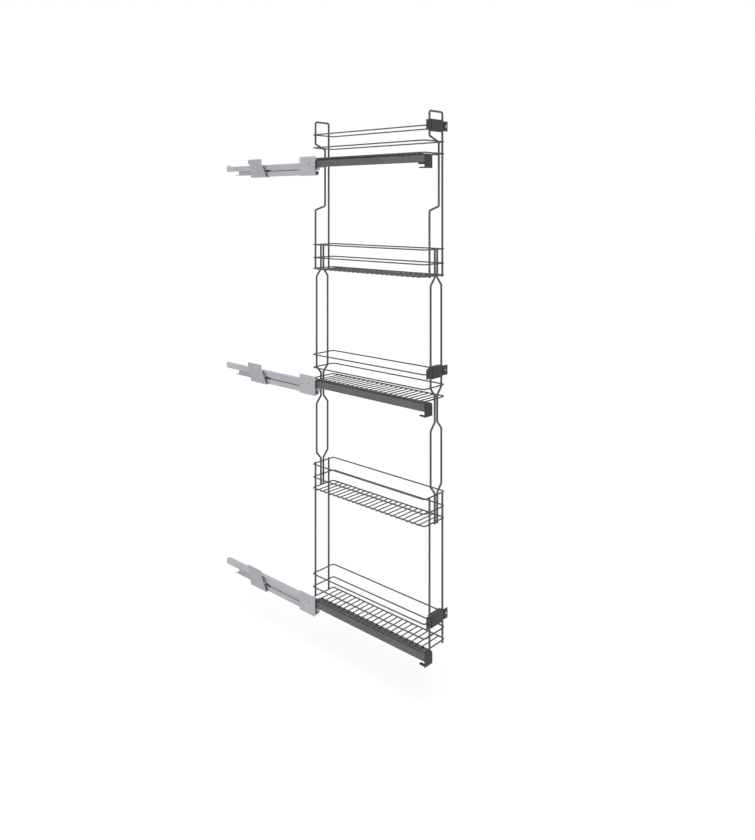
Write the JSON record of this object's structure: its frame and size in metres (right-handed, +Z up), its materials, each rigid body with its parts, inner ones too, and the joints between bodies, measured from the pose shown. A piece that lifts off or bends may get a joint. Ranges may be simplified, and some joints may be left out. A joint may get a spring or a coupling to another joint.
{
  "type": "larder pull-out unit",
  "caption": "Narrow full-height larder pull-out: wire baskets in bent wire end frames, drawn out on side-mounted full-extension slides, with brackets that carry the cabinet's door.",
  "frame": {"origin": "middle of the lower front wall bracket's face against the cabinet's side wall", "axes": "+X from that wall into the cabinet, +Y from the door to the cabinet's back, +Z up"},
  "size_m": [0.109, 0.9766, 1.6751],
  "materials": {
    "paint": "satin powder coat",
    "galvanised": "zinc plated",
    "dark_plastic": "matte",
    "damper_plastic": "matte",
    "cage_steel": "bright"
  },
  "bodies": {
    "cabinet_side": {"lower_cabinet_rail": "galvanised", "lower_damper": "damper_plastic", "lower_front_wall_bracket": "galvanised", "lower_rear_wall_bracket": "galvanised", "middle_cabinet_rail": "galvanised", "middle_damper": "damper_plastic", "middle_front_wall_bracket": "galvanised", "middle_rear_wall_bracket": "galvanised", "upper_cabinet_rail": "galvanised", "upper_damper": "damper_plastic", "upper_front_wall_bracket": "galvanised", "upper_rear_wall_bracket": "galvanised"},
    "pull_out_unit": {"basket_1_floor": "paint", "basket_1_middle_ring": "paint", "basket_1_upper_ring": "paint", "basket_2_floor": "paint", "basket_2_middle_ring": "paint", "basket_2_upper_ring": "paint", "basket_3_floor": "paint", "basket_3_middle_ring": "paint", "basket_3_upper_ring": "paint", "basket_4_floor": "paint", "basket_4_middle_ring": "paint", "basket_4_upper_ring": "paint", "basket_5_floor": "paint", "basket_5_middle_ring": "paint", "basket_5_upper_ring": "paint", "lower_carriage_member": "galvanised", "lower_carriage_rail": "paint", "lower_door_bracket": "dark_plastic", "lower_end_plate": "dark_plastic", "lower_front_far_post": "paint", "lower_front_near_post": "paint", "lower_rear_far_post": "paint", "lower_rear_near_post": "paint", "middle_carriage_member": "galvanised", "middle_carriage_rail": "paint", "middle_door_bracket": "dark_plastic", "middle_end_plate": "dark_plastic", "middle_front_far_wire": "paint", "middle_front_near_wire": "paint", "middle_rear_far_wire": "paint", "middle_rear_near_wire": "paint", "upper_carriage_member": "galvanised", "upper_carriage_rail": "paint", "upper_door_bracket": "dark_plastic", "upper_end_plate": "dark_plastic", "upper_front_hoop": "paint", "upper_rear_hoop": "paint"},
    "lower_inner_ball_cage": {"lower_inner_ball_cage": "cage_steel"},
    "lower_intermediate_rail": {"lower_intermediate_rail": "galvanised"},
    "lower_outer_ball_cage": {"lower_outer_ball_cage": "cage_steel"},
    "middle_inner_ball_cage": {"middle_inner_ball_cage": "cage_steel"},
    "middle_intermediate_rail": {"middle_intermediate_rail": "galvanised"},
    "middle_outer_ball_cage": {"middle_outer_ball_cage": "cage_steel"},
    "upper_inner_ball_cage": {"upper_inner_ball_cage": "cage_steel"},
    "upper_intermediate_rail": {"upper_intermediate_rail": "galvanised"},
    "upper_outer_ball_cage": {"upper_outer_ball_cage": "cage_steel"}
  },
  "joints": [
    {"name": "pull_out_slide", "type": "slide", "parent": "cabinet_side", "child": "pull_out_unit", "axis": [0, 1, 0], "range_m": [0, 0.4515]},
    {"name": "upper_intermediate_rail_slide", "type": "slide", "parent": "cabinet_side", "child": "upper_intermediate_rail", "axis": [0, 1, 0], "range_m": [0, 0.22575]},
    {"name": "upper_outer_ball_cage_slide", "type": "slide", "parent": "cabinet_side", "child": "upper_outer_ball_cage", "axis": [0, 1, 0], "range_m": [0, 0.11288]},
    {"name": "upper_inner_ball_cage_slide", "type": "slide", "parent": "cabinet_side", "child": "upper_inner_ball_cage", "axis": [0, 1, 0], "range_m": [0, 0.33863]},
    {"name": "middle_intermediate_rail_slide", "type": "slide", "parent": "cabinet_side", "child": "middle_intermediate_rail", "axis": [0, 1, 0], "range_m": [0, 0.22575]},
    {"name": "middle_outer_ball_cage_slide", "type": "slide", "parent": "cabinet_side", "child": "middle_outer_ball_cage", "axis": [0, 1, 0], "range_m": [0, 0.11288]},
    {"name": "middle_inner_ball_cage_slide", "type": "slide", "parent": "cabinet_side", "child": "middle_inner_ball_cage", "axis": [0, 1, 0], "range_m": [0, 0.33863]},
    {"name": "lower_intermediate_rail_slide", "type": "slide", "parent": "cabinet_side", "child": "lower_intermediate_rail", "axis": [0, 1, 0], "range_m": [0, 0.22575]},
    {"name": "lower_outer_ball_cage_slide", "type": "slide", "parent": "cabinet_side", "child": "lower_outer_ball_cage", "axis": [0, 1, 0], "range_m": [0, 0.11288]},
    {"name": "lower_inner_ball_cage_slide", "type": "slide", "parent": "cabinet_side", "child": "lower_inner_ball_cage", "axis": [0, 1, 0], "range_m": [0, 0.33863]}
  ],
  "couplings": [
    {"joint": "upper_intermediate_rail_slide", "follows": "pull_out_slide", "ratio": 0.5},
    {"joint": "upper_outer_ball_cage_slide", "follows": "pull_out_slide", "ratio": 0.25},
    {"joint": "upper_inner_ball_cage_slide", "follows": "pull_out_slide", "ratio": 0.75},
    {"joint": "middle_intermediate_rail_slide", "follows": "pull_out_slide", "ratio": 0.5},
    {"joint": "middle_outer_ball_cage_slide", "follows": "pull_out_slide", "ratio": 0.25},
    {"joint": "middle_inner_ball_cage_slide", "follows": "pull_out_slide", "ratio": 0.75},
    {"joint": "lower_intermediate_rail_slide", "follows": "pull_out_slide", "ratio": 0.5},
    {"joint": "lower_outer_ball_cage_slide", "follows": "pull_out_slide", "ratio": 0.25},
    {"joint": "lower_inner_ball_cage_slide", "follows": "pull_out_slide", "ratio": 0.75}
  ]
}
